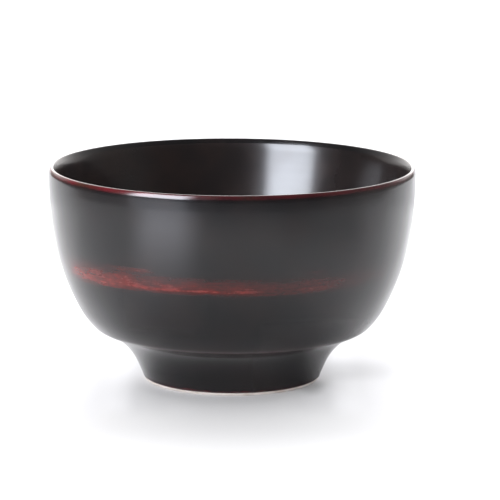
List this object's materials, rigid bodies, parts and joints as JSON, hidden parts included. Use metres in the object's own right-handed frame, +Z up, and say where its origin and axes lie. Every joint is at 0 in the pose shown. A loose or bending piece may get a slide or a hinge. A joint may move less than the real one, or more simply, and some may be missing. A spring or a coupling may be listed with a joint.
{
  "type": "rice bowl",
  "caption": "Round rice bowl with a thin upright wall, soft heel and flared foot ring, in lacquer-black glaze with a red-brown lip and a brushed red stripe.",
  "frame": {"origin": "centre of the foot ring's contact plane, on the bowl's axis", "axes": "+Z up along the bowl's axis, out of its mouth; the bowl is round, so +X and +Y are alike, and -Y is the side the picture shows"},
  "size_m": [0.12, 0.12, 0.0708],
  "materials": {
    "clay": "bare fired clay, pale cream, fine-grained and matt",
    "black_glaze": "lacquer-black iron glaze, satin to semi-gloss, faintly brown",
    "rim_glaze": "thin red-brown break over the lip, semi-gloss",
    "red_slip": "brick-red slip brushed on in broken streaks over black, semi-gloss"
  },
  "bodies": {
    "root": {"clay_body": "clay", "foot_ring": "clay", "inner_glaze": "black_glaze", "rim_glaze": "rim_glaze", "upper_wall_glaze": "black_glaze", "brushed_stripe": "red_slip", "lower_wall_glaze": "black_glaze", "foot_glaze": "black_glaze", "base_glaze": "black_glaze"}
  },
  "joints": []
}
